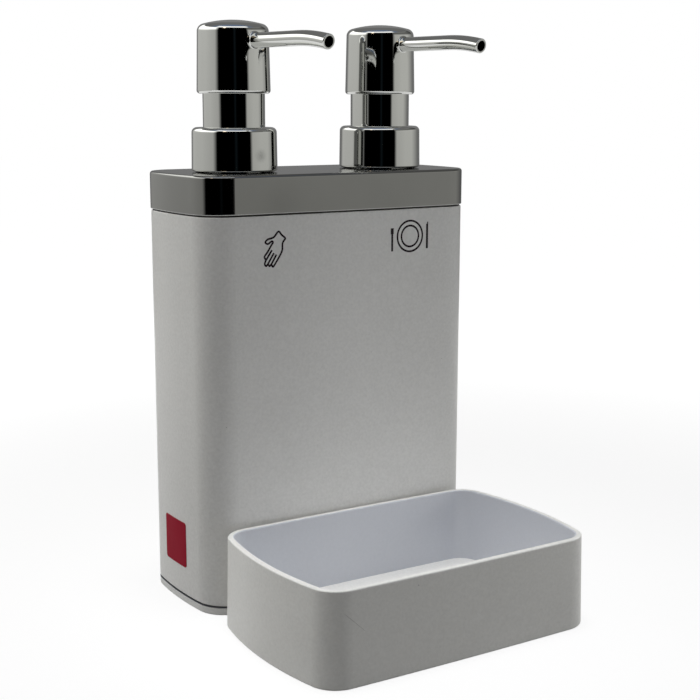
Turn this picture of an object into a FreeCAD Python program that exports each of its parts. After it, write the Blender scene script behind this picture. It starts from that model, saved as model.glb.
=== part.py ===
import FreeCAD, Part
import math
import os

os.makedirs("parts", exist_ok=True)

# Twin soap dispenser with a loose tray in front of it.
# Millimetres, +Z up, front towards -Y, origin on the counter under the middle of the dispenser.

# Dispenser body
BODY_WIDTH = 126.5
BODY_DEPTH = 59.5
BODY_HEIGHT = 153.3
BODY_CORNER = 12.8
SIDE_BULGE = 0.9
FRONT_BULGE = 0.7
BODY_WALL = 2.2
BODY_EDGE = 0.5
PARTITION = 2.0

# Base plate under the body
BASE_RIM = 3.1
BASE_GROOVE = 0.6
GROOVE_DEPTH = 1.2
BASE_EDGE = 0.8
TONGUE_HEIGHT = 5.0
TONGUE_WALL = 1.6

# Lid and its seal
LID_HEIGHT = 14.9
LID_OVERHANG = 0.25
LID_PLATE = 2.6
LID_EDGE = 1.2
LID_FOOT_EDGE = 0.4
PLUG_DEPTH = 6.0
PLUG_WALL = 1.6
PLUG_FIT = 0.15
SEAL_THICKNESS = 0.6
SEAL_INSET = 0.6

# Label on the left side, near the foot
LABEL_WIDTH = 18.5
LABEL_HEIGHT = 18.6
LABEL_CORNER = 1.2
LABEL_THICKNESS = 0.15
LABEL_FOOT = 15.3
LABEL_OFFSET = 1.0

# Screw necks on the lid
PUMP_SPACING = 69.0
NECK_DIAMETER = 25.0
NECK_BORE = 21.4
NECK_HEIGHT = 12.5
THREAD_PITCH = 4.23
THREAD_TURNS = 1.5
THREAD_DEPTH = 1.2
THREAD_ROOT = 2.3
THREAD_CREST = 1.1
THREAD_RISE = 3.2
THREAD_PLAY = 0.25

# Collar with its fixed sleeve, and the screw cap inside it
COLLAR_DIAMETER = 34.0
COLLAR_DRAFT = 0.25
COLLAR_WALL = 1.2
COLLAR_ROUND = 2.0
COLLAR_EDGE = 0.7
COLLAR_GAP = 0.3
SLEEVE_DIAMETER = 24.5
SLEEVE_WALL = 1.2
SLEEVE_SHOWN = 13.0
SLEEVE_HIDDEN = 2.8
CAP_WEB = 1.1
CAP_FIT = 0.05
CAP_RAISE = 0.5
CAP_HOLE = 20.0

# Pump head with its nozzle
HEAD_DIAMETER = 29.0
HEAD_DRAFT = 0.5
HEAD_HEIGHT = 28.2
HEAD_CROWN = 45.0
HEAD_SHOULDER = 3.0
HEAD_EDGE = 1.3
HEAD_ROOF = 3.2
HEAD_PLAY = 0.35
HEAD_TURN = 9.0
PRESS_GAP = 0.5
NOZZLE_DIAMETER = 5.7
NOZZLE_BORE = 4.2
NOZZLE_DROP = 8.2
NOZZLE_STRAIGHT = 40.0
NOZZLE_REACH = 57.5
NOZZLE_BEND = 12.0
NOZZLE_FLARE = 0.7
NOZZLE_LIP = 0.3

# Core inside the head, which carries the stem
CORE_FIT = 0.05
CORE_WALL = 1.5
CORE_WEB = 2.0
CORE_HUB = 12.0
CORE_HUB_DROP = 12.0
CORE_CHANNEL = 3.0
CORE_SPOUT = 6.4
CORE_CLEARANCE = 0.6
STEM_SOCKET = 8.0

# Stem, piston and return spring
STEM_DIAMETER = 8.0
STEM_BORE = 4.6
STEM_FIT = 0.02
STEM_FOOT = 12.6
STEM_FOOT_THICKNESS = 2.0
STEM_PORT = 2.4
RUNNING_FIT = 0.05
PISTON_HEIGHT = 10.0
PISTON_WAIST = 12.0
PISTON_LIP = 2.2
PISTON_REST = 0.1
SPRING_LENGTH = 37.0
SPRING_WIRE = 1.2
SPRING_DIAMETER = 10.4
SPRING_TURNS = 9
SPRING_CLOSE = 0.5
SPRING_SEAT = 0.05

# Barrel, its retainer, inlet ball and dip tube
GASKET_THICKNESS = 1.0
GASKET_BORE = 18.0
FLANGE_DIAMETER = 24.6
FLANGE_THICKNESS = 1.5
BARREL_BORE = 14.0
BARREL_WALL = 1.5
BARREL_FLOOR = 2.0
RETAINER_DISC = 1.8
RETAINER_PLUG = 4.0
RETAINER_PLAY = 0.2
BALL_DIAMETER = 6.0
BALL_LIFT = 2.0
BALL_PLAY = 0.05
CAGE_BORE = 7.0
CAGE_BAR = 1.6
CAGE_WALL = 1.5
SEAT_HOLE = 4.4
SEAT_THICKNESS = 2.0
TUBE_SOCKET = 10.0
TUBE_DIAMETER = 6.8
TUBE_BORE = 5.0
TUBE_GAP = 3.0

# Loose tray in front
TRAY_WIDTH = 127.0
TRAY_DEPTH = 80.3
TRAY_HEIGHT = 36.0
TRAY_CORNER = 11.0
TRAY_SIDE_BULGE = 3.0
TRAY_FRONT_BULGE = 0.5
TRAY_FLARE = 0.8
TRAY_WALL = 2.5
TRAY_DRAFT = 0.5
TRAY_FLOOR = 5.9
TRAY_RIM_ROUND = 0.6
TRAY_FOOT_ROUND = 0.9
TRAY_GAP = 0.4

# Heights that follow from the stack of pieces
body_foot = BASE_RIM + BASE_GROOVE
body_top = body_foot + BODY_HEIGHT
lid_foot = body_top + SEAL_THICKNESS
lid_top = lid_foot + LID_HEIGHT
lid_ceiling = lid_top - LID_PLATE
neck_top = lid_top + NECK_HEIGHT
flange_foot = neck_top + GASKET_THICKNESS
flange_top = flange_foot + FLANGE_THICKNESS
cap_top = flange_top + CAP_WEB
collar_top = cap_top + COLLAR_WALL
collar_foot = lid_top + COLLAR_GAP
head_foot = collar_top + SLEEVE_SHOWN
head_top = head_foot + HEAD_HEIGHT
sleeve_top = head_foot + SLEEVE_HIDDEN
stroke = SLEEVE_SHOWN - PRESS_GAP
head_ceiling = head_top - HEAD_ROOF
nozzle_height = head_top - NOZZLE_DROP
core_foot = sleeve_top + stroke + CORE_CLEARANCE
hub_foot = core_foot - CORE_HUB_DROP
stem_top = hub_foot + STEM_SOCKET
piston_top = flange_top - RETAINER_PLUG - PISTON_REST
piston_foot = piston_top - PISTON_HEIGHT
stem_foot = piston_foot - STEM_FOOT_THICKNESS
chamber_floor = stem_foot - SPRING_LENGTH
bar_foot = chamber_floor - CAGE_BAR
ball_centre = bar_foot - BALL_PLAY - BALL_LIFT - BALL_DIAMETER / 2
seat_top = ball_centre - BALL_PLAY - math.sqrt(BALL_DIAMETER ** 2 - SEAT_HOLE ** 2) / 2
seat_foot = seat_top - SEAT_THICKNESS
barrel_foot = seat_foot - TUBE_SOCKET
tube_foot = body_foot + TUBE_GAP

# Distance below which two points count as the same
touch = 1e-4


def point(x, y, z=0.0):
    return FreeCAD.Vector(x, y, z)


def line(start, end):
    return Part.LineSegment(start, end).toShape()


def arc(start, middle, end):
    return Part.Arc(start, middle, end).toShape()


def bulged_outline(width, depth, corner, side_bulge, front_bulge, inset, z):
    """Rounded rectangle with slightly curved sides, moved in by an inset all round."""
    ax = width / 2 - corner - side_bulge
    ay = depth / 2 - corner - front_bulge
    reach = corner - inset
    lean_front = 2 * math.atan2(front_bulge, ax)
    lean_side = 2 * math.atan2(side_bulge, ay)
    edges = []
    for sx, sy in ((1, -1), (1, 1), (-1, 1), (-1, -1)):
        front = point(sx * (ax + reach * math.sin(lean_front)), sy * (ay + reach * math.cos(lean_front)), z)
        side = point(sx * (ax + reach * math.cos(lean_side)), sy * (ay + reach * math.sin(lean_side)), z)
        turn = (math.pi / 2 - lean_front + lean_side) / 2
        middle = point(sx * (ax + reach * math.cos(turn)), sy * (ay + reach * math.sin(turn)), z)
        edges.append(arc(front, middle, side))
    for sy in (-1, 1):
        end = point(ax + reach * math.sin(lean_front), sy * (ay + reach * math.cos(lean_front)), z)
        start = point(-end.x, end.y, z)
        edges.append(arc(start, point(0, sy * (ay + front_bulge + reach), z), end))
    for sx in (-1, 1):
        end = point(sx * (ax + reach * math.cos(lean_side)), ay + reach * math.sin(lean_side), z)
        start = point(end.x, -end.y, z)
        edges.append(arc(start, point(sx * (ax + side_bulge + reach), 0, z), end))
    return Part.Wire(Part.__sortEdges__(edges))


def body_prism(inset, foot, top):
    """Upright prism on the body's outline, moved in by an inset."""
    wire = bulged_outline(BODY_WIDTH, BODY_DEPTH, BODY_CORNER, SIDE_BULGE, FRONT_BULGE, inset, foot)
    return Part.Face(wire).extrude(point(0, 0, top - foot))


def slab(thickness, foot, top):
    """Wall on the middle plane, wider than the body."""
    return Part.makeBox(thickness, BODY_DEPTH, top - foot, point(-thickness / 2, -BODY_DEPTH / 2, foot))


def chamber_prism(inset, foot, top):
    """The two reservoirs side by side, moved in from the walls and from the partition."""
    return body_prism(BODY_WALL + inset, foot, top).cut(slab(PARTITION + 2 * inset, foot, top))


def chamber_rib(fit, wall, foot, top):
    """A rib that runs round just inside each reservoir."""
    return chamber_prism(fit, foot, top).cut(chamber_prism(fit + wall, foot, top))


def edges_at(shape, z):
    """Edges that lie flat at one height."""
    return [e for e in shape.Edges if max(abs(e.BoundBox.ZMin - z), abs(e.BoundBox.ZMax - z)) < touch]


def cylinder(diameter, foot, top):
    return Part.makeCylinder(diameter / 2, top - foot, point(0, 0, foot))


def tube(outer, bore, foot, top):
    return cylinder(outer, foot, top).cut(cylinder(bore, foot, top))


def turned(corners, rounds=None):
    """Solid of revolution about Z from (radius, height) corners, some of them rounded."""
    rounds = rounds or {}
    flat = [point(r, 0, z) for r, z in corners]
    arrive = []
    leave = []
    edges = []
    for i, here in enumerate(flat):
        if i not in rounds:
            arrive.append(here)
            leave.append(here)
            continue
        back = (flat[i - 1] - here).normalize()
        ahead = (flat[(i + 1) % len(flat)] - here).normalize()
        half = back.getAngle(ahead) / 2
        first = here + back * (rounds[i] / math.tan(half))
        last = here + ahead * (rounds[i] / math.tan(half))
        inward = (back + ahead).normalize()
        middle = here + inward * (rounds[i] / math.sin(half) - rounds[i])
        edges.append(arc(first, middle, last))
        arrive.append(first)
        leave.append(last)
    for i in range(len(flat)):
        start = leave[i]
        end = arrive[(i + 1) % len(flat)]
        if start.distanceToPoint(end) > touch:
            edges.append(line(start, end))
    wire = Part.Wire(Part.__sortEdges__(edges))
    return Part.Face(wire).revolve(point(0, 0), point(0, 0, 1), 360)


def thread(root, outwards, middle):
    """Right-hand thread ridge, sunk a little into a wall of a root radius, with its start at a height."""
    crest = root + outwards * THREAD_DEPTH
    sunk = root - outwards * THREAD_DEPTH / 4
    corners = [point(sunk, 0, middle - THREAD_ROOT / 2), point(crest, 0, middle - THREAD_CREST / 2),
               point(crest, 0, middle + THREAD_CREST / 2), point(sunk, 0, middle + THREAD_ROOT / 2)]
    path = Part.makeHelix(THREAD_PITCH, THREAD_PITCH * THREAD_TURNS, (sunk + crest) / 2)
    path.translate(point(0, 0, middle))
    profile = Part.makePolygon(corners + corners[:1])
    return Part.Wire(path.Edges).makePipeShell([profile], True, True)


def biarc(start, start_way, end, end_way):
    """Two tangent arcs that join two points with given directions."""
    gap = end - start
    ways = start_way + end_way
    spread = 2 * (1 - start_way.dot(end_way))
    push = gap.dot(ways)
    reach = (-push + math.sqrt(push ** 2 + spread * gap.dot(gap))) / spread
    first = start + start_way * reach
    last = end - end_way * reach
    joint = (first + last) * 0.5
    edges = []
    for a, apex, b in ((start, first, joint), (joint, last, end)):
        foot = (a + b) * 0.5
        half = a.distanceToPoint(b) / 2
        rise = apex.distanceToPoint(foot)
        sagitta = half * math.tan(math.atan2(rise, half) / 2)
        edges.append(arc(a, foot + (apex - foot) * (sagitta / rise), b))
    return edges


# Body: one white moulding, a tube with a partition that makes two reservoirs

body_shell = body_prism(0, body_foot, body_top)
body_rims = edges_at(body_shell, body_foot) + edges_at(body_shell, body_top)
body_shell = body_shell.makeFillet(BODY_EDGE, body_rims)
body_shell = body_shell.cut(chamber_prism(0, body_foot, body_top))

# Base plate: closes both reservoirs, plugs into them and stands flat on the counter

base_rim = body_prism(0, 0, BASE_RIM)
base_rim = base_rim.makeFillet(BASE_EDGE, edges_at(base_rim, 0))
base_ledge = body_prism(GROOVE_DEPTH, BASE_RIM, body_foot)
base_tongue = chamber_rib(PLUG_FIT, TONGUE_WALL, body_foot, body_foot + TONGUE_HEIGHT)
base_plate = base_rim.fuse([base_ledge, base_tongue]).removeSplitter()

# Lid seal: flat ring with a bar across, clamped between body and lid

lid_seal = body_prism(SEAL_INSET, body_top, lid_foot).cut(chamber_prism(0, body_top, lid_foot))

# Lid: plated cap with a plug rib into each reservoir and two screw necks

lid = body_prism(-LID_OVERHANG, lid_foot, lid_top)
lid = lid.makeFillet(LID_EDGE, edges_at(lid, lid_top))
lid = lid.makeFillet(LID_FOOT_EDGE, edges_at(lid, lid_foot))
lid = lid.cut(chamber_prism(PLUG_FIT + PLUG_WALL, lid_foot, lid_ceiling))
lid_plug = chamber_rib(PLUG_FIT, PLUG_WALL, body_top - PLUG_DEPTH, lid_ceiling)
neck_thread_middle = lid_top + THREAD_RISE
neck_crest = NECK_DIAMETER / 2 + THREAD_DEPTH
neck_ridge = thread(NECK_DIAMETER / 2, 1, neck_thread_middle)
neck = cylinder(NECK_DIAMETER, lid_ceiling, neck_top).fuse(neck_ridge)
neck_bore = cylinder(NECK_BORE, lid_ceiling, neck_top)
lid = lid.fuse(lid_plug)
for side in (-1, 1):
    place = point(side * PUMP_SPACING / 2, 0)
    lid = lid.fuse(neck.translated(place)).cut(neck_bore.translated(place))
lid = lid.removeSplitter()

# Label: plain sticker that follows the curve of the left side

label_top = LABEL_FOOT + LABEL_HEIGHT
label_place = point(-BODY_WIDTH / 2 - LABEL_THICKNESS, LABEL_OFFSET - LABEL_WIDTH / 2, LABEL_FOOT)
label_block = Part.makeBox(BODY_CORNER + LABEL_THICKNESS, LABEL_WIDTH, LABEL_HEIGHT, label_place)
across = [e for e in label_block.Edges if e.BoundBox.XLength > BODY_CORNER]
label_block = label_block.makeFillet(LABEL_CORNER, across)
label_skin = body_prism(-LABEL_THICKNESS, LABEL_FOOT, label_top).cut(body_prism(0, LABEL_FOOT, label_top))
side_label = label_skin.common(label_block)

# Tray: one moulding that flares towards its foot, open at the top

tray_middle = -(BODY_DEPTH / 2 + TRAY_GAP + TRAY_FLARE + TRAY_DEPTH / 2)


def tray_outline(inset, z):
    return bulged_outline(TRAY_WIDTH, TRAY_DEPTH, TRAY_CORNER, TRAY_SIDE_BULGE, TRAY_FRONT_BULGE, inset, z)


tray = Part.makeLoft([tray_outline(-TRAY_FLARE, 0), tray_outline(0, TRAY_HEIGHT)], True, True)
tray_well = Part.makeLoft([tray_outline(TRAY_WALL + TRAY_DRAFT, TRAY_FLOOR),
                           tray_outline(TRAY_WALL, TRAY_HEIGHT)], True, True)
tray = tray.makeFillet(TRAY_FOOT_ROUND, edges_at(tray, 0)).cut(tray_well)
tray = tray.makeFillet(TRAY_RIM_ROUND, edges_at(tray, TRAY_HEIGHT))
tray.translate(point(0, tray_middle))

# Collar: plated skirt and fixed sleeve in one piece

collar_radius = COLLAR_DIAMETER / 2
collar_bore = collar_radius - COLLAR_DRAFT - COLLAR_WALL
sleeve_radius = SLEEVE_DIAMETER / 2
collar = turned([(collar_bore, collar_foot), (collar_radius, collar_foot),
                 (collar_radius - COLLAR_DRAFT, collar_top), (sleeve_radius, collar_top),
                 (sleeve_radius, sleeve_top), (sleeve_radius - SLEEVE_WALL, sleeve_top),
                 (sleeve_radius - SLEEVE_WALL, cap_top), (collar_bore, cap_top)],
                {1: COLLAR_EDGE, 2: COLLAR_ROUND, 7: COLLAR_ROUND - COLLAR_WALL})

# Screw cap: threaded ring that clamps the barrel's flange onto the neck

cap_radius = collar_bore - CAP_FIT
cap_foot = collar_foot + CAP_RAISE
cap_bore = neck_crest + THREAD_PLAY
screw_cap = turned([(cap_bore, cap_foot), (cap_radius, cap_foot), (cap_radius, cap_top),
                    (CAP_HOLE / 2, cap_top), (CAP_HOLE / 2, flange_top), (cap_bore, flange_top)],
                   {2: COLLAR_ROUND - COLLAR_WALL + CAP_FIT})
cap_ridge = thread(cap_bore, -1, neck_thread_middle + THREAD_PITCH / 2)
screw_cap = screw_cap.fuse(cap_ridge)

# Gasket, barrel and retainer

neck_gasket = tube(FLANGE_DIAMETER, GASKET_BORE, neck_top, flange_foot)
barrel_radius = BARREL_BORE / 2 + BARREL_WALL
cage_radius = CAGE_BORE / 2 + CAGE_WALL
socket_radius = TUBE_DIAMETER / 2 + RUNNING_FIT
tail_radius = socket_radius + CAGE_WALL
flange_radius = FLANGE_DIAMETER / 2
step_height = chamber_floor - BARREL_FLOOR
barrel_outer = turned([(0, barrel_foot), (tail_radius, barrel_foot), (tail_radius, seat_foot),
                       (cage_radius, seat_top), (cage_radius, step_height), (barrel_radius, step_height),
                       (barrel_radius, flange_foot), (flange_radius, flange_foot),
                       (flange_radius, flange_top), (0, flange_top)])
barrel_hollow = [cylinder(BARREL_BORE, chamber_floor, flange_top),
                 cylinder(CAGE_BORE, seat_top, chamber_floor), cylinder(SEAT_HOLE, seat_foot, seat_top),
                 cylinder(2 * socket_radius, barrel_foot, seat_foot)]
cage_bar = Part.makeBox(CAGE_BORE + CAGE_WALL, CAGE_BAR, CAGE_BAR,
                        point(-(CAGE_BORE + CAGE_WALL) / 2, -CAGE_BAR / 2, bar_foot))
pump_barrel = barrel_outer.cut(barrel_hollow).fuse(cage_bar).removeSplitter()
stem_hole = STEM_DIAMETER / 2 + RUNNING_FIT
plug_radius = BARREL_BORE / 2 - RUNNING_FIT
disc_radius = CAP_HOLE / 2 - RETAINER_PLAY
stem_retainer = turned([(stem_hole, flange_top - RETAINER_PLUG), (plug_radius, flange_top - RETAINER_PLUG),
                        (plug_radius, flange_top), (disc_radius, flange_top),
                        (disc_radius, flange_top + RETAINER_DISC), (stem_hole, flange_top + RETAINER_DISC)])

# Inlet ball and dip tube

inlet_ball = Part.makeSphere(BALL_DIAMETER / 2, point(0, 0, ball_centre))
dip_tube = tube(TUBE_DIAMETER, TUBE_BORE, tube_foot, seat_foot)

# Piston: soft cup with a sealing lip at each end

lip_radius = BARREL_BORE / 2 - RUNNING_FIT
waist = PISTON_WAIST / 2
pump_piston = turned([(stem_hole, piston_foot), (lip_radius, piston_foot),
                      (lip_radius, piston_foot + PISTON_LIP / 2), (waist, piston_foot + PISTON_LIP),
                      (waist, piston_top - PISTON_LIP), (lip_radius, piston_top - PISTON_LIP / 2),
                      (lip_radius, piston_top), (stem_hole, piston_top)])

# Stem: tube with a closed foot under the piston and a cross port above it

stem_radius = STEM_DIAMETER / 2
pump_stem = turned([(0, stem_foot), (STEM_FOOT / 2, stem_foot), (STEM_FOOT / 2, piston_foot),
                    (stem_radius, piston_foot), (stem_radius, stem_top), (STEM_BORE / 2, stem_top),
                    (STEM_BORE / 2, piston_foot), (0, piston_foot)])
port_height = piston_foot + STEM_PORT
port_start = point(-STEM_FOOT / 2, 0, port_height)
stem_port = Part.makeCylinder(STEM_PORT / 2, STEM_FOOT, port_start, point(1, 0, 0))
pump_stem = pump_stem.cut(stem_port)

# Return spring: one wire, wound closer towards both ends

spring_foot = chamber_floor + SPRING_SEAT + SPRING_WIRE / 2
spring_rise = SPRING_LENGTH - 2 * SPRING_SEAT - SPRING_WIRE


def spring_point(share):
    angle = 2 * math.pi * SPRING_TURNS * share
    rise = share - SPRING_CLOSE * math.sin(2 * math.pi * share) / (2 * math.pi)
    radius = SPRING_DIAMETER / 2
    return point(radius * math.cos(angle), radius * math.sin(angle), spring_foot + spring_rise * rise)


def spring_way(share):
    angle = 2 * math.pi * SPRING_TURNS * share
    sweep = 2 * math.pi * SPRING_TURNS * SPRING_DIAMETER / 2
    climb = spring_rise * (1 - SPRING_CLOSE * math.cos(2 * math.pi * share))
    return point(-sweep * math.sin(angle), sweep * math.cos(angle), climb).normalize()


spring_edges = []
spring_steps = round(4 * SPRING_TURNS)
for step in range(spring_steps):
    here = step / spring_steps
    ahead = (step + 1) / spring_steps
    spring_edges += biarc(spring_point(here), spring_way(here), spring_point(ahead), spring_way(ahead))
wire_end = Part.Wire(Part.makeCircle(SPRING_WIRE / 2, spring_point(0), spring_way(0)))
return_spring = Part.Wire(spring_edges).makePipeShell([wire_end], True, False)
turn_share = 1 / SPRING_TURNS
closest = min(spring_point(k / spring_steps).distanceToPoint(spring_point(k / spring_steps + turn_share))
              for k in range(spring_steps - 3))
print("least gap between turns of the spring", round(closest - SPRING_WIRE, 2))

# Head core: ring and hub that take the stem and lead the soap to the nozzle

head_bore = sleeve_radius + HEAD_PLAY
core_radius = head_bore - CORE_FIT
core_top = head_ceiling - CORE_FIT
channel_top = nozzle_height + CORE_CHANNEL / 2
head_core = tube(2 * core_radius, 2 * (core_radius - CORE_WALL), core_foot, core_top)
core_web = cylinder(2 * core_radius, core_top - CORE_WEB, core_top)
core_hub = cylinder(CORE_HUB, hub_foot, core_top)
spout_start = point(0, 0, nozzle_height)
forwards = point(0, -1, 0)
core_spout = Part.makeCylinder(CORE_SPOUT / 2, core_radius - CORE_WALL / 2, spout_start, forwards)
head_core = head_core.fuse([core_web, core_hub, core_spout])
socket_hole = cylinder(STEM_DIAMETER + 2 * STEM_FIT, hub_foot, stem_top)
riser_hole = cylinder(STEM_BORE, stem_top, channel_top)
spout_hole = Part.makeCylinder(CORE_CHANNEL / 2, core_radius, spout_start, forwards)
head_core = head_core.cut([socket_hole, riser_hole, spout_hole]).removeSplitter()

# Head shell: plated cap with a shallow crown and a slim curved nozzle

head_radius = HEAD_DIAMETER / 2
head_shoulder_radius = head_radius - HEAD_DRAFT
crown_centre = head_top - HEAD_CROWN
round_radius = head_shoulder_radius - HEAD_SHOULDER
round_height = crown_centre + math.sqrt((HEAD_CROWN - HEAD_SHOULDER) ** 2 - round_radius ** 2)
crown_lean = math.atan2(round_radius, round_height - crown_centre)


def crown_point(lean):
    """Point on the crown's arc, by its lean from the axis."""
    return point(HEAD_CROWN * math.sin(lean), 0, crown_centre + HEAD_CROWN * math.cos(lean))


crown_end = crown_point(crown_lean)
crown_middle = crown_point(crown_lean / 2)
round_lean = (crown_lean + math.pi / 2) / 2
round_middle = point(round_radius + HEAD_SHOULDER * math.sin(round_lean), 0,
                     round_height + HEAD_SHOULDER * math.cos(round_lean))
shoulder = point(head_shoulder_radius, 0, round_height)
edge_start = point(head_radius - HEAD_EDGE, 0, head_foot)
edge_end = point(head_radius, 0, head_foot + HEAD_EDGE)
edge_sink = HEAD_EDGE * (1 - math.sqrt(0.5))
edge_middle = point(head_radius - edge_sink, 0, head_foot + edge_sink)
apex = point(0, 0, head_top)
roof = point(0, 0, head_ceiling)
roof_corner = point(head_bore, 0, head_ceiling)
mouth_corner = point(head_bore, 0, head_foot)
head_profile = [arc(edge_start, edge_middle, edge_end), line(edge_end, shoulder),
                arc(shoulder, round_middle, crown_end), arc(crown_end, crown_middle, apex), line(apex, roof),
                line(roof, roof_corner), line(roof_corner, mouth_corner), line(mouth_corner, edge_start)]
head_shell = Part.Face(Part.Wire(head_profile)).revolve(point(0, 0), point(0, 0, 1), 360)

bend = math.radians(NOZZLE_BEND)
bend_radius = (NOZZLE_REACH - NOZZLE_STRAIGHT) / math.sin(bend)


def nozzle_point(angle):
    """Point on the nozzle's bend after turning down by an angle."""
    return point(0, -NOZZLE_STRAIGHT - bend_radius * math.sin(angle),
                 nozzle_height - bend_radius * (1 - math.cos(angle)))


def nozzle_rod(diameter, start):
    """Round bar along the nozzle's line, from a distance in front of the axis to the tip."""
    first = point(0, -start, nozzle_height)
    straight = line(first, nozzle_point(0))
    curve = arc(nozzle_point(0), nozzle_point(bend / 2), nozzle_point(bend))
    end = Part.Wire(Part.makeCircle(diameter / 2, first, forwards))
    return Part.Wire([straight, curve]).makePipeShell([end], True, False)


nozzle_root = head_bore + (head_radius - head_bore) / 2
flare_radius = NOZZLE_DIAMETER / 2 + NOZZLE_FLARE
head_taper = HEAD_DRAFT * (nozzle_height - edge_end.z) / (round_height - edge_end.z)
flare_length = head_radius - head_taper + NOZZLE_FLARE - nozzle_root
flare_sink = NOZZLE_FLARE * (1 - math.sqrt(0.5))
flare_profile = [line(point(0, 0, 0), point(flare_radius, 0, 0)),
                 line(point(flare_radius, 0, 0), point(flare_radius, 0, flare_length - NOZZLE_FLARE)),
                 arc(point(flare_radius, 0, flare_length - NOZZLE_FLARE),
                     point(NOZZLE_DIAMETER / 2 + flare_sink, 0, flare_length - NOZZLE_FLARE + flare_sink),
                     point(NOZZLE_DIAMETER / 2, 0, flare_length)),
                 line(point(NOZZLE_DIAMETER / 2, 0, flare_length), point(0, 0, flare_length)),
                 line(point(0, 0, flare_length), point(0, 0, 0))]
nozzle_flare = Part.Face(Part.Wire(flare_profile)).revolve(point(0, 0), point(0, 0, 1), 360)
nozzle_flare.rotate(point(0, 0), point(1, 0, 0), 90)
nozzle_flare.translate(point(0, -nozzle_root, nozzle_height))
nozzle = nozzle_rod(NOZZLE_DIAMETER, nozzle_root)
nozzle_tip = nozzle_point(bend)
tip = [e for e in nozzle.Edges if e.BoundBox.Center.distanceToPoint(nozzle_tip) < NOZZLE_DIAMETER / 8]
nozzle = nozzle.makeFillet(NOZZLE_LIP, tip)
head_shell = head_shell.fuse([nozzle, nozzle_flare]).cut(nozzle_rod(NOZZLE_BORE, core_radius - CORE_WALL))
head_shell = head_shell.removeSplitter()

# Both pumps are the same, with their nozzles turned a little to the right

pump_pieces = {
    "head_shell": head_shell, "head_core": head_core, "pump_stem": pump_stem, "pump_piston": pump_piston,
    "return_spring": return_spring, "stem_retainer": stem_retainer, "pump_barrel": pump_barrel,
    "inlet_ball": inlet_ball, "dip_tube": dip_tube, "neck_gasket": neck_gasket, "screw_cap": screw_cap,
    "collar": collar}
pieces = {"body_shell": body_shell, "base_plate": base_plate, "lid": lid, "lid_seal": lid_seal,
          "side_label": side_label, "tray": tray}
for name, side in (("left", -1), ("right", 1)):
    for piece, shape in pump_pieces.items():
        placed = shape.copy()
        if piece in ("head_shell", "head_core", "pump_stem"):
            placed.rotate(point(0, 0), point(0, 0, 1), HEAD_TURN)
        placed.translate(point(side * PUMP_SPACING / 2, 0))
        pieces[name + "_" + piece] = placed

for name, shape in pieces.items():
    solids = shape.Solids
    shape = solids[0] if len(solids) == 1 else shape
    print(name, len(solids), shape.isValid(), round(shape.Volume), [round(v, 2) for v in shape.CenterOfMass])
    shape.exportStep("parts/" + name + ".step")
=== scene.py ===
import math

import bmesh
import bpy
from mathutils import Matrix, Vector


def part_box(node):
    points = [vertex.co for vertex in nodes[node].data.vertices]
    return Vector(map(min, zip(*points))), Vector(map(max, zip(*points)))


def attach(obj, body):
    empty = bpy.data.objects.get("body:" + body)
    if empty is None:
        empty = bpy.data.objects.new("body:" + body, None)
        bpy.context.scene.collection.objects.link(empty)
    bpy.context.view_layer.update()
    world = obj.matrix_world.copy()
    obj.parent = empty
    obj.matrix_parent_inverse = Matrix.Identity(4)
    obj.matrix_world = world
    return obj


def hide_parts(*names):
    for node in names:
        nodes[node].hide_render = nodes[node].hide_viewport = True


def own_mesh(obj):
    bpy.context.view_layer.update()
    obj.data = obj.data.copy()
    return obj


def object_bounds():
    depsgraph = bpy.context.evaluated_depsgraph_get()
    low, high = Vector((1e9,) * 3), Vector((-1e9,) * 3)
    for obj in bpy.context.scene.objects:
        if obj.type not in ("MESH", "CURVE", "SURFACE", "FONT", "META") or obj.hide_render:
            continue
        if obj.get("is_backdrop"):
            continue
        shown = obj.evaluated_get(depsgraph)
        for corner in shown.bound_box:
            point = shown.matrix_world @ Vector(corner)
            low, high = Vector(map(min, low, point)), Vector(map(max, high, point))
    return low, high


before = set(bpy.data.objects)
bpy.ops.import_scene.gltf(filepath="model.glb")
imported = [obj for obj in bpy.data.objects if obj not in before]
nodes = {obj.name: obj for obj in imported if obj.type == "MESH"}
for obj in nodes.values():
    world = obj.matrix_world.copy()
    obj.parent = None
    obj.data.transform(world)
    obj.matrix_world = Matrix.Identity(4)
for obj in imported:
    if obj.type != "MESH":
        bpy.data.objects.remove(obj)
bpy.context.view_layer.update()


# Base plate: the foot of the dispenser, moulded in the same white plastic as the body.
# It plugs into both reservoirs from below and leaves a thin groove under the body's edge,
# and above the groove's foot the plate is painted dark grey as the groove's shade.

class Wire:
    """One socket of a material; sums on it add Math nodes."""

    def __init__(self, socket):
        self.socket = socket

    def node(self, kind, settings, sockets, output=0):
        """Adds a node, sets it up, fills its sockets and returns one of its outputs."""
        made = self.socket.id_data.nodes.new(kind)
        for name, value in settings.items():
            if name == "stops":
                ramp = made.color_ramp.elements
                for place, colour in value[2:]:
                    ramp.new(place)
                for element, (place, colour) in zip(ramp, sorted(value)):
                    element.position = place
                    element.color = colour
            else:
                setattr(made, name, value)
        fill(made, sockets)
        return Wire(made.outputs[output])

    def sum(self, operation, first, second):
        return self.node("ShaderNodeMath", {"operation": operation}, {"Value": first, "Value_001": second})

    def __add__(self, other):
        return self.sum("ADD", self, other)

    __radd__ = __add__

    def __sub__(self, other):
        return self.sum("SUBTRACT", self, other)

    def __rsub__(self, other):
        return self.sum("SUBTRACT", other, self)

    def __mul__(self, other):
        return self.sum("MULTIPLY", self, other)

    __rmul__ = __mul__

    def __lt__(self, other):
        return self.sum("LESS_THAN", self, other)

    def __gt__(self, other):
        return self.sum("GREATER_THAN", self, other)


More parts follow.
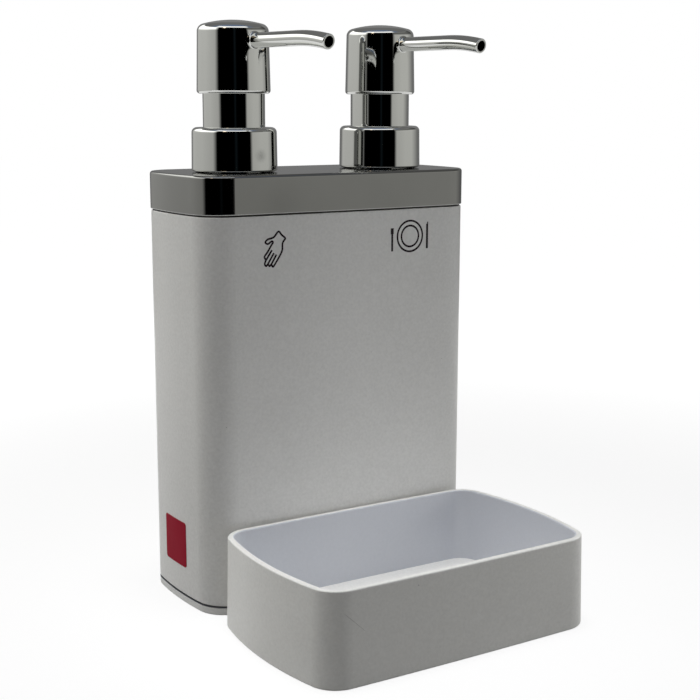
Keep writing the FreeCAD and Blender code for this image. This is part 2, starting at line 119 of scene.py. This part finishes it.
def fill(node, sockets):
    """Sets a node's sockets, by identifier, to plain values or to wires."""
    for name, value in sockets.items():
        socket = next(s for s in node.inputs if s.identifier == name)
        if isinstance(value, Wire):
            node.id_data.links.new(value.socket, socket)
        else:
            socket.default_value = value


def new_finish(name):
    """A material, its shader, and the place on the piece in metres."""
    made = bpy.data.materials.new(name)
    made.use_nodes = True
    tree = made.node_tree
    place = tree.nodes.new("ShaderNodeTexCoord").outputs["Object"]
    return made, tree.nodes["Principled BSDF"], Wire(place)


def noise(place, scale, detail=2.0, stretch=(1.0, 1.0, 1.0)):
    """Soft noise from 0 to 1, with features of about 1 / scale metres."""
    placed = place.node("ShaderNodeMapping", {}, {"Vector": place, "Scale": stretch})
    return placed.node("ShaderNodeTexNoise", {}, {"Vector": placed, "Scale": scale, "Detail": detail})


def blend(share, first, second):
    """Colour between two colours."""
    sockets = {"Factor_Float": share, "A_Color": first, "B_Color": second}
    return share.node("ShaderNodeMix", {"data_type": "RGBA"}, sockets, 2)


def white_moulding(name, colour, shade, roughness, gloss):
    """Satin white plastic from an eroded mould, with faint clouds, dust and wiping marks."""
    made, shader, place = new_finish(name)
    cloud = 0.35 * noise(place, 24.0, 3.0) + 0.65 * noise(place, 900.0, 3.0)
    cell = place.node("ShaderNodeTexVoronoi", {}, {"Vector": place, "Scale": 85.0})
    lot = cell.node("ShaderNodeTexWhiteNoise", {}, {"Vector": Wire(cell.socket.node.outputs["Color"])})
    dust = (cell < 0.022) * (lot > 0.72)
    colours = blend(2.2 * cloud - 0.6, colour, shade)
    dusty = tuple(0.45 * c for c in shade[:3]) + (1.0,)
    wiped = noise(place, 60.0, 4.0, (1.0, 1.0, 0.25))
    grain = noise(place, 2600.0, 2.0)
    bump = grain.node("ShaderNodeBump", {}, {"Height": grain, "Strength": 0.6, "Distance": 0.00006})
    fill(shader, {"Base Color": blend(dust * 0.6, colours, dusty), "Normal": bump,
                  "Roughness": roughness - 0.06 + 0.12 * wiped, "Specular IOR Level": gloss})
    return made


def wear(node, finish):
    """Gives a carried-over node its finish."""
    for slot in nodes[node].material_slots:
        slot.material = finish


white_colour = (0.90, 0.895, 0.875, 1.0)
white_shade = (0.77, 0.765, 0.745, 1.0)
groove_foot = 0.00305
groove_painted_shade = (0.16, 0.16, 0.18, 1.0)
base_white = white_moulding("base_white", white_colour, white_shade, roughness=0.42, gloss=0.5)
shader = base_white.node_tree.nodes["Principled BSDF"]
skin = Wire(shader.inputs["Base Color"].links[0].from_socket)
place = Wire(base_white.node_tree.nodes["Texture Coordinate"].outputs["Object"])
height = place.node("ShaderNodeSeparateXYZ", {}, {"Vector": place}, "Z")
# Painted shade: above the groove's foot the plate is painted dark grey.
fill(shader, {"Base Color": blend(height > groove_foot, skin, groove_painted_shade)})
wear("base_plate", base_white)


# Body: one tall white moulding with a partition that makes two reservoirs.
# Its satin faces bulge a little, and its corners are wide and soft.
# The base plate closes it from below and the lid from above.

wear("body_shell", white_moulding("body_white", white_colour, white_shade, roughness=0.33, gloss=0.3))


# Pictograms: a hand above the left reservoir and a plate, fork and knife above the right one.
# They are printed on the front in near-black ink, as lines that follow its bulge.

def rule(name, inputs):
    """A Geometry Nodes tree with named inputs, and a wire for each of them."""
    tree = bpy.data.node_groups.new(name, "GeometryNodeTree")
    for label, kind in {"Geometry": "Geometry", **inputs, "Material": "Material"}.items():
        tree.interface.new_socket(label, in_out="INPUT", socket_type="NodeSocket" + kind)
    tree.interface.new_socket("Geometry", in_out="OUTPUT", socket_type="NodeSocketGeometry")
    start = tree.nodes.new("NodeGroupInput").outputs
    return tree, {label: Wire(start[label]) for label in ("Geometry", *inputs, "Material")}


def close(tree, geometry, material):
    """Ends a tree: real geometry, smooth, in its material."""
    real = geometry.node("GeometryNodeRealizeInstances", {}, {"Geometry": geometry})
    smooth = real.node("GeometryNodeSetShadeSmooth", {}, {"Geometry": real})
    dressed = smooth.node("GeometryNodeSetMaterial", {}, {"Geometry": smooth, "Material": material})
    end = tree.nodes.new("NodeGroupOutput")
    tree.links.new(dressed.socket, end.inputs["Geometry"])


def grow(name, seed, tree, values, body):
    """Runs a tree on a seed mesh and keeps the result as a plain piece on a body."""
    piece = bpy.data.objects.new(name, seed)
    bpy.context.scene.collection.objects.link(piece)
    modifier = piece.modifiers.new(name, "NODES")
    modifier.node_group = tree
    for item in tree.interface.items_tree:
        if item.in_out == "INPUT" and item.name in values:
            modifier[item.identifier] = values[item.name]
    grown = bpy.data.meshes.new_from_object(piece.evaluated_get(bpy.context.evaluated_depsgraph_get()))
    piece.modifiers.clear()
    piece.data = grown
    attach(piece, body)
    return piece


def ring(radius, steps=48):
    """Points of a full ring."""
    turns = [i * math.tau / steps for i in range(steps)]
    return [(radius * math.cos(a), radius * math.sin(a)) for a in turns]


line = 0.8
film = 0.08
hand_at = (-33.1, 144.3)
hand_size = 0.91
hand = [
    (True, line, [(1.7, 7.2), (3.3, 5.7), (5.0, 4.2), (4.3, 3.2), (3.7, 2.1), (3.6, 0.8), (3.5, -0.7),
                  (2.8, -2.3), (1.3, -4.6), (-0.4, -7.0), (-1.1, -7.5), (-1.8, -6.6), (-2.6, -7.2),
                  (-3.4, -6.4), (-4.2, -7.1), (-4.9, -6.2), (-4.4, -4.6), (-4.9, -3.5), (-4.8, -2.8),
                  (-3.3, -0.9), (-1.8, 1.4), (-0.9, 2.7), (-1.5, 3.2), (-3.3, 2.2), (-4.5, 2.9),
                  (-3.4, 4.1), (-0.5, 4.9)]),
    (False, line, [(-1.8, -6.5), (-0.5, -4.5), (0.7, -2.5)]),
    (False, line, [(-3.3, -6.2), (-1.9, -4.0), (-0.5, -1.8)]),
    (False, line, [(-4.3, -4.6), (-2.9, -2.6), (-1.4, -0.5)])]
plate_at = (30.0, 145.95)
plate_size = 1.0
plate = [
    (True, line, ring(6.25)), (True, line, ring(4.25)),
    (False, 0.95, [(-8.85, -5.8), (-8.85, -2.2), (-8.85, 1.4)]),
    (False, 1.45, [(-8.85, 1.2), (-8.85, 2.4), (-8.85, 3.6)]),
    (False, 1.05, [(8.67, -5.5), (8.67, -0.5), (8.67, 4.6)]),
    (False, 0.6, [(8.85, 4.2), (8.9, 4.8), (8.95, 5.4)])]
lines = bmesh.new()
half_width = lines.verts.layers.float.new("half_width")
for middle, size, strokes in ((hand_at, hand_size, hand), (plate_at, plate_size, plate)):
    for closed, width, points in strokes:
        spots = [(middle[0] + size * x, 0.0, middle[1] + size * z) for x, z in points]
        row = [lines.verts.new(Vector(spot) / 1000) for spot in spots]
        for vert in row:
            vert[half_width] = width / 2000
        for first, second in zip(row, row[1:] + row[:1] * closed):
            lines.edges.new((first, second))
seed = bpy.data.meshes.new("pictogram_lines")
lines.to_mesh(seed)
lines.free()

tree, wire = rule("printed_lines", {"Body": "Object", "Film": "Float"})
drawn = wire["Geometry"].node("GeometryNodeMeshToCurve", {}, {"Mesh": wire["Geometry"]})
drawn = drawn.node("GeometryNodeCurveSplineType", {"spline_type": "CATMULL_ROM"}, {"Curve": drawn})
drawn = drawn.node("GeometryNodeSetSplineResolution", {}, {"Geometry": drawn, "Resolution": 6})
width = drawn.node("GeometryNodeInputNamedAttribute", {"data_type": "FLOAT"}, {"Name": "half_width"})
pen = drawn.node("GeometryNodeCurvePrimitiveCircle", {}, {"Resolution": 10, "Radius": 1.0})
drawn = drawn.node("GeometryNodeCurveToMesh", {}, {"Curve": drawn, "Profile Curve": pen, "Scale": width,
                                                   "Fill Caps": True})
target = drawn.node("GeometryNodeObjectInfo", {}, {"Object": wire["Body"]}, "Geometry")
spot = drawn.node("GeometryNodeInputPosition", {}, {})
before = spot.node("ShaderNodeVectorMath", {"operation": "ADD"},
                   {"Vector": spot, "Vector_001": (0.0, -0.05, 0.0)})
hit = target.node("GeometryNodeRaycast", {}, {"Target Geometry": target, "Source Position": before,
                  "Ray Direction": (0.0, 1.0, 0.0), "Ray Length": 0.1}, "Hit Position")
flat = spot.node("ShaderNodeVectorMath", {"operation": "MULTIPLY"},
                 {"Vector": spot, "Vector_001": (0.0, 1.0, 0.0)})
proud = flat.node("ShaderNodeVectorMath", {"operation": "SCALE"}, {"Vector": flat, "Scale": wire["Film"]})
inked = hit.node("ShaderNodeVectorMath", {"operation": "ADD"}, {"Vector": hit, "Vector_001": proud})
drawn = drawn.node("GeometryNodeSetPosition", {}, {"Geometry": drawn, "Position": inked})
close(tree, drawn, wire["Material"])

made, shader, place = new_finish("print_ink")
fleck = noise(place, 2600.0, 3.0)
fill(shader, {"Base Color": blend(fleck, (0.010, 0.004, 0.007, 1.0), (0.022, 0.010, 0.014, 1.0)),
              "Roughness": 0.4 + 0.15 * fleck, "Specular IOR Level": 0.1})
values = {"Body": nodes["body_shell"], "Film": film, "Material": made}
grow("pictograms", seed, tree, values, "root")


# Label: a small plain red sticker of printed film, near the foot of the left side.
# It is glued on and follows the curve of the side.

made, shader, place = new_finish("label_red")
ink = noise(place, 900.0, 3.0)
fill(shader, {"Base Color": blend(ink, (0.40, 0.010, 0.032, 1.0), (0.36, 0.008, 0.028, 1.0)),
              "Roughness": 0.5 + 0.1 * noise(place, 120.0), "Specular IOR Level": 0.05})
wear("side_label", made)


# Lid seal: a flat moulded ring of black rubber, with a bar over the partition.
# It is squeezed between the body and the lid.

def black_rubber(name):
    """Moulded rubber, dull and a little dusty."""
    made, shader, place = new_finish(name)
    dust = noise(place, 350.0, 4.0)
    bump = dust.node("ShaderNodeBump", {}, {"Height": dust, "Strength": 0.2, "Distance": 0.00005})
    fill(shader, {"Base Color": blend(dust, (0.012, 0.012, 0.013, 1.0), (0.03, 0.03, 0.03, 1.0)),
                  "Roughness": 0.62 + 0.25 * dust, "Normal": bump})
    return made


rubber = black_rubber("seal_rubber")
wear("lid_seal", rubber)


# Lid: a moulded plastic cap over the whole body, plated in a dark chrome.
# A rib under it plugs into each reservoir, and two screw necks stand on top of it.

def near(place, spot, reach):
    """1 at a spot on the piece, falling to 0 at a reach in metres."""
    span = place.node("ShaderNodeVectorMath", {"operation": "DISTANCE"},
                      {"Vector": place, "Vector_001": spot}, 1)
    return span.node("ShaderNodeMapRange", {"interpolation_type": "SMOOTHSTEP"},
                     {"Value": span, "From Max": reach, "To Min": 1.0, "To Max": 0.0})


def plating(name, colour, tint, roughness, marks, grease):
    """Chrome on a moulding: a mirror with a slight wave and greasy finger marks at (place, reach)."""
    made, shader, place = new_finish(name)
    smear = noise(place, 45.0, 5.0)
    ridges = noise(place, 1400.0, 2.0)
    touched = sum(near(place, spot, reach) for spot, reach in marks) * (0.4 + ridges)
    wave = noise(place, 110.0, 1.0)
    bump = wave.node("ShaderNodeBump", {}, {"Height": wave, "Strength": 0.03, "Distance": 0.0003})
    greasy = tuple(0.5 * c for c in tint[:3]) + (1.0,)
    fill(shader, {"Base Color": blend(grease * touched, blend(smear, colour, tint), greasy),
                  "Metallic": 1.0, "Normal": bump,
                  "Roughness": roughness + 0.05 * smear + 0.3 * grease * touched})
    return made


lid_colour = (0.27, 0.27, 0.26, 1.0)
lid_tint = (0.24, 0.24, 0.23, 1.0)
lid_marks = [((-0.030, -0.030, 0.1612), 0.012)]
wear("lid", plating("lid_dark_chrome", lid_colour, lid_tint, 0.05, lid_marks, grease=0.16))


# Pump insides: natural plastic mouldings, a steel valve ball and a clear dip tube.
# They are pressed into each other, and both pumps have the same set.

def natural_plastic(name, colour, shade):
    """Unpainted plastic, a little cloudy."""
    made, shader, place = new_finish(name)
    cloud = noise(place, 140.0, 3.0)
    fill(shader, {"Base Color": blend(cloud, colour, shade), "Roughness": 0.4 + 0.15 * cloud, "IOR": 1.5})
    return made


def drawn_steel(name):
    """Bright steel with fine drawing lines."""
    made, shader, place = new_finish(name)
    lines = noise(place, 700.0, 3.0, (1.0, 1.0, 8.0))
    fill(shader, {"Base Color": blend(lines, (0.58, 0.57, 0.55, 1.0), (0.46, 0.45, 0.44, 1.0)),
                  "Metallic": 1.0, "Roughness": 0.2 + 0.2 * lines})
    return made


white_plastic = natural_plastic("pump_white", (0.80, 0.80, 0.77, 1.0), (0.74, 0.74, 0.71, 1.0))
tube_plastic = natural_plastic("tube_clear", (0.70, 0.73, 0.74, 1.0), (0.62, 0.66, 0.68, 1.0))
steel = drawn_steel("spring_steel")
sides = ("left", "right")
for side in sides:
    for piece in ("head_core", "pump_stem", "pump_piston", "stem_retainer", "pump_barrel", "screw_cap"):
        wear(side + "_" + piece, white_plastic)
    wear(side + "_dip_tube", tube_plastic)
    wear(side + "_neck_gasket", rubber)
    wear(side + "_inlet_ball", steel)


# Return springs: round steel wire, wound with turns that close up at both ends.
# Each one stands on the floor of its barrel under the stem.

tree, wire = rule("wound_wire", {"Axis": "Vector", "Turns": "Float", "Coil": "Float", "Wire": "Float",
                                 "Rise": "Float", "Closing": "Float"})
path = wire["Axis"].node("GeometryNodeCurvePrimitiveLine", {}, {"End": (0.0, 0.0, 1.0)})
path = path.node("GeometryNodeResampleCurve", {}, {"Curve": path, "Count": 289})
share = path.node("GeometryNodeSplineParameter", {}, {}, "Factor")
swing = share * wire["Turns"] * math.tau
across = wire["Coil"] * swing.node("ShaderNodeMath", {"operation": "COSINE"}, {"Value": swing})
along = wire["Coil"] * swing.node("ShaderNodeMath", {"operation": "SINE"}, {"Value": swing})
sway = share.node("ShaderNodeMath", {"operation": "SINE"}, {"Value": share * math.tau})
climb = wire["Rise"] * (share - wire["Closing"] * sway * (1.0 / math.tau))
spot = climb.node("ShaderNodeCombineXYZ", {}, {"X": across, "Y": along, "Z": climb})
spot = spot.node("ShaderNodeVectorMath", {"operation": "ADD"}, {"Vector": spot, "Vector_001": wire["Axis"]})
path = path.node("GeometryNodeSetPosition", {}, {"Geometry": path, "Position": spot})
gauge = path.node("GeometryNodeCurvePrimitiveCircle", {}, {"Resolution": 12, "Radius": wire["Wire"]})
wound = path.node("GeometryNodeCurveToMesh", {}, {"Curve": path, "Profile Curve": gauge, "Fill Caps": True})
close(tree, wound, wire["Material"])

wire_radius = 0.0006
coil_radius = 0.0052
coil_turns = 9.0
coil_rise = 0.0357
coil_closing = 0.5
stroke = 0.0125
for side in sides:
    low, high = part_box(side + "_return_spring")
    foot = Vector(((low.x + high.x) / 2, (low.y + high.y) / 2, low.z + wire_radius))
    values = {"Axis": foot, "Turns": coil_turns, "Coil": coil_radius, "Wire": wire_radius,
              "Rise": coil_rise, "Closing": coil_closing, "Material": steel}
    seed = bpy.data.meshes.new(side + "_spring")
    spring = grow(side + "_spring", seed, tree, values, side + "_barrel")
    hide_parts(side + "_return_spring")
    height = high.z - low.z
    1.0 - stroke / height
    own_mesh(spring)


# Collars and heads: moulded plastic caps, plated in bright chrome.
# The collars screw onto the necks, and the heads are pressed onto the stems.
# A finger has left a smudge on the left collar.

chrome_colour = (0.60, 0.605, 0.585, 1.0)
chrome_tint = (0.55, 0.555, 0.535, 1.0)
collar_marks = [((-0.0317, -0.0168, 0.1791), 0.0035)]
bright_chrome = plating("pump_chrome", chrome_colour, chrome_tint, 0.02, collar_marks, grease=0.6)
for side in sides:
    wear(side + "_collar", bright_chrome)
    wear(side + "_head_shell", bright_chrome)


# Tray: a loose open tub for a sponge, moulded in the same white plastic.
# It stands in front of the dispenser, and a scratch marks its front.
# Its inner walls are painted a darker, cooler grey as shade.

tray_colour = (0.955, 0.95, 0.92, 1.0)
tray_shade = (0.835, 0.83, 0.80, 1.0)
inner_painted_shade = (0.60, 0.63, 0.72, 1.0)
inner_shade_share = 0.7
scratch_at = (-0.0488, -0.1115, 0.0242)
scratch_turn = math.radians(43.3)
scratch_half = (0.0062, 0.003, 0.00012)
scratch_colour = (0.33, 0.32, 0.30, 1.0)
tray_white = white_moulding("tray_white", tray_colour, tray_shade, roughness=0.40, gloss=0.5)
tree = tray_white.node_tree
shader = tree.nodes["Principled BSDF"]
skin = Wire(shader.inputs["Base Color"].links[0].from_socket)
low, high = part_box("tray")
middle = (low + high) / 2
place = Wire(tree.nodes["Texture Coordinate"].outputs["Object"])
away = place.node("ShaderNodeVectorMath", {"operation": "SUBTRACT"},
                  {"Vector": place, "Vector_001": middle})
away = away.node("ShaderNodeVectorMath", {"operation": "MULTIPLY"},
                 {"Vector": away, "Vector_001": (1.0, 1.0, 0.0)})
facing = skin.node("ShaderNodeNewGeometry", {}, {}, "Normal")
outwards = away.node("ShaderNodeVectorMath", {"operation": "DOT_PRODUCT"},
                     {"Vector": away, "Vector_001": facing}, 1)
# Painted shade: faces that turn inwards are mixed towards a darker, cooler grey.
skin = blend((outwards < -0.01) * inner_shade_share, skin, inner_painted_shade)
scratch = place.node("ShaderNodeMapping", {"vector_type": "TEXTURE"},
                     {"Vector": place, "Location": scratch_at, "Rotation": (0.0, scratch_turn, 0.0)})
scratch = scratch.node("ShaderNodeVectorMath", {"operation": "DIVIDE"},
                       {"Vector": scratch, "Vector_001": scratch_half})
scratch = scratch.node("ShaderNodeVectorMath", {"operation": "LENGTH"}, {"Vector": scratch}, 1)
fill(shader, {"Base Color": blend((scratch < 1.0) * 0.4, skin, scratch_colour)})
wear("tray", tray_white)


# Floor: a plain white table top that keeps the shadow under the object.
# The room round it is plain white too. Only the floor's matt grey throws light back at the object.

def path_white(tree):
    """1 for the rays that may see the plain white surroundings, 0 for those that light the object."""
    rays = tree.nodes.new("ShaderNodeLightPath").outputs
    return Wire(rays["Is Camera Ray"]) + Wire(rays["Is Glossy Ray"]) + Wire(rays["Is Transmission Ray"])


def stage_piece(name, mesh, finish):
    """Puts a piece of the studio on the stage."""
    mesh.materials.append(finish)
    piece = bpy.data.objects.new(name, mesh)
    bpy.context.scene.collection.objects.link(piece)
    piece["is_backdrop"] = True
    return piece


room = bpy.data.worlds.new("white_room")
room.use_nodes = True
bpy.context.scene.world = room
backdrop = room.node_tree.nodes["Background"]
fill(backdrop, {"Color": (1.0, 1.0, 1.0, 1.0), "Strength": path_white(room.node_tree)})

floor_reach = 4.0
floor_grey = (0.17, 0.17, 0.17, 1.0)
floor_lift = 0.862
made, _, place = new_finish("floor_white")
span = place.node("ShaderNodeVectorMath", {"operation": "LENGTH"}, {"Vector": place}, 1)
far = span.node("ShaderNodeMapRange", {"interpolation_type": "SMOOTHSTEP"},
                {"Value": span, "From Min": 0.2, "From Max": 0.6, "To Min": floor_lift, "To Max": 1.0})
white = far.node("ShaderNodeVectorMath", {"operation": "SCALE"},
                 {"Vector": (1.0, 1.0, 1.0), "Scale": far * path_white(made.node_tree)})
lift = far.node("ShaderNodeEmission", {}, {"Color": white, "Strength": 1.0})
matt = far.node("ShaderNodeBsdfDiffuse", {}, {"Color": floor_grey})
both = matt.node("ShaderNodeAddShader", {}, {"Shader": matt, "Shader_001": lift})
made.node_tree.links.new(both.socket, made.node_tree.nodes["Material Output"].inputs["Surface"])
floor_mesh = bpy.data.meshes.new("floor")
corners = [(x * floor_reach, y * floor_reach, 0.0) for x, y in ((-1, -1), (1, -1), (1, 1), (-1, 1))]
floor_mesh.from_pydata(corners, [], [(0, 1, 2, 3)])
stage_piece("floor", floor_mesh, made)


# Light tent: a dome of white cloth round the table, lit from outside.
# It is open and dark towards the camera and grey behind the object. A softbox shines in above
# the camera, with a small warm bulb under its edge.

def grey(value, warmth=0.0):
    """A grey of the cloth, with a little less blue where it is warm."""
    return (value, value, value * (1.0 - warmth), 1.0)


yaw = 0.5681
tent_radius = 0.75
roof_low, roof_high = 0.73 * tent_radius, 0.77 * tent_radius
upper_low, upper_high = 0.42 * tent_radius, 0.55 * tent_radius
softbox_top = 0.88 * tent_radius
back_turn = 2.4
back = grey(0.2)
dark = grey(0.0)
streak = (0.006, 0.009, 0.011, 1.0)
roof_front = (0.12, 0.16, 0.25, 1.0)
roof_back = grey(0.14)
softbox = grey(1.1)
bulb = (3.6, 2.9, 2.1, 1.0)
bulb_reach = 0.07
bulb_turn = math.radians(-26.0)
bulb_rise = math.radians(45.6)
bulb_at = tent_radius * Vector((math.sin(bulb_turn) * math.cos(bulb_rise),
                                -math.cos(bulb_turn) * math.cos(bulb_rise), math.sin(bulb_rise)))
shape = bmesh.new()
bmesh.ops.create_uvsphere(shape, u_segments=96, v_segments=48, radius=tent_radius)
below = [v for v in shape.verts if v.co.z < -0.01]
bmesh.ops.delete(shape, geom=below, context="VERTS")
tent_mesh = bpy.data.meshes.new("light_tent")
shape.to_mesh(tent_mesh)
shape.free()
made, _, place = new_finish("tent_cloth")
turned = place.node("ShaderNodeVectorRotate", {"rotation_type": "Z_AXIS"}, {"Vector": place, "Angle": yaw})
along = turned.node("ShaderNodeSeparateXYZ", {}, {"Vector": turned})
aside, depth, height = (Wire(o) for o in along.socket.node.outputs)
turn = depth.node("ShaderNodeMath", {"operation": "ARCTAN2"}, {"Value": aside, "Value_001": 0.0 - depth})
wall = turn.node("ShaderNodeValToRGB", {"stops": [
    (0.0, back), (1.0, back), (0.09, back), (0.13, grey(0.64, 0.03)), (0.25, grey(0.64, 0.03)),
    (0.31, grey(0.57, 0.03)), (0.35, grey(0.52, 0.03)), (0.38, dark), (0.505, dark),
    (0.52, streak), (0.535, dark), (0.625, dark), (0.645, grey(0.54, 0.04)),
    (0.72, grey(0.62, 0.04)), (0.79, grey(0.62, 0.04)), (0.88, back)]},
    {"Fac": 0.5 + turn * (0.5 / math.pi)})
roof = height.node("ShaderNodeMapRange", {"interpolation_type": "SMOOTHSTEP"},
                   {"Value": height, "From Min": roof_low, "From Max": roof_high})
off = turn.node("ShaderNodeMath", {"operation": "ABSOLUTE"}, {"Value": turn})
front = off.node("ShaderNodeMapRange", {"interpolation_type": "SMOOTHSTEP"},
                 {"Value": off, "From Min": 0.85, "From Max": 1.1, "To Min": 1.0, "To Max": 0.0})
behind = depth.node("ShaderNodeMapRange", {"interpolation_type": "SMOOTHSTEP"},
                    {"Value": depth, "From Min": -0.3 * tent_radius, "From Max": 0.0})
cloth = blend(roof, wall, blend(behind, roof_front, roof_back))
cloth = blend(roof * front * (height < softbox_top), cloth, softbox)
cloth = blend(near(turned, bulb_at, bulb_reach), cloth, bulb)
left_more = turn.node("ShaderNodeMapRange", {},
                      {"Value": turn, "From Min": -0.9, "From Max": -0.6, "To Min": 2.4, "To Max": 0.0})
right_less = turn.node("ShaderNodeMapRange", {},
                       {"Value": turn, "From Min": 0.7, "From Max": 0.9, "To Min": 0.0, "To Max": -1.0})
upper = height.node("ShaderNodeMapRange", {},
                    {"Value": height, "From Min": upper_low, "From Max": upper_high})
uneven = (left_more + right_less) * upper * (off < back_turn) * (1.0 - roof)
strength = 0.8 + height * (0.8 / tent_radius) + uneven
cloth = cloth.node("ShaderNodeVectorMath", {"operation": "SCALE"}, {"Vector": cloth, "Scale": strength})
glow = cloth.node("ShaderNodeEmission", {}, {"Color": cloth, "Strength": 1.0})
made.node_tree.links.new(glow.socket, made.node_tree.nodes["Material Output"].inputs["Surface"])
tent = stage_piece("light_tent", tent_mesh, made)
tent.visible_camera = False


# Top lamp: a round lamp with a narrow beam, hung over the tray.
# It brightens what faces up and leaves no spot in the chrome.

def round_lamp(name, place, aim, size, spread, energy):
    """A round area lamp that the chrome doesn't mirror."""
    data = bpy.data.lights.new(name, "AREA")
    data.shape = "DISK"
    data.size = size
    data.spread = spread
    data.energy = energy
    lamp = bpy.data.objects.new(name, data)
    lamp.location = place
    lamp.rotation_euler = (aim - place).to_track_quat("-Z", "Y").to_euler()
    lamp.visible_glossy = False
    bpy.context.scene.collection.objects.link(lamp)


top_place = Vector((0.0, -0.06, 0.72))
tray_middle = Vector((0.0, -0.06, 0.0))
round_lamp("top_lamp", top_place, tray_middle, size=0.2, spread=math.radians(30.0), energy=0.09)


# Side lamp: a small round lamp on a stand, low on the right and close to the tray.
# It brightens the right of each front, so that the fronts shade off to the left.

side_place = Vector((0.28, -0.24, 0.10))
tray_front = Vector((0.03, -0.09, 0.06))
round_lamp("side_lamp", side_place, tray_front, size=0.15, spread=math.radians(75.0), energy=0.026)


# Camera: a camera in front of the dispenser's left corner, a little above the lid.
# It has the height, angle and lens of the photograph.

eye = Vector((-0.2852, -0.4780, 0.2001))
pitch = 0.1832
roll = 0.00175
image_width = 700.0
focal_pixels = 1345.0
sensor = 36.0
ahead = Vector((math.sin(yaw) * math.cos(pitch), math.cos(yaw) * math.cos(pitch), -math.sin(pitch)))
level = Vector((math.cos(yaw), -math.sin(yaw), 0.0))
rise = level.cross(ahead)
right = level * math.cos(roll) + rise * math.sin(roll)
up = rise * math.cos(roll) - level * math.sin(roll)
camera_data = bpy.data.cameras.new("camera")
camera_data.sensor_width = sensor
camera_data.lens = focal_pixels / image_width * sensor
camera = bpy.data.objects.new("camera", camera_data)
camera.matrix_world = Matrix.Translation(eye) @ Matrix((right, up, -ahead)).transposed().to_4x4()
bpy.context.scene.collection.objects.link(camera)
bpy.context.scene.camera = camera
bpy.context.scene.view_settings.view_transform = "Standard"

low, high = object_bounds()
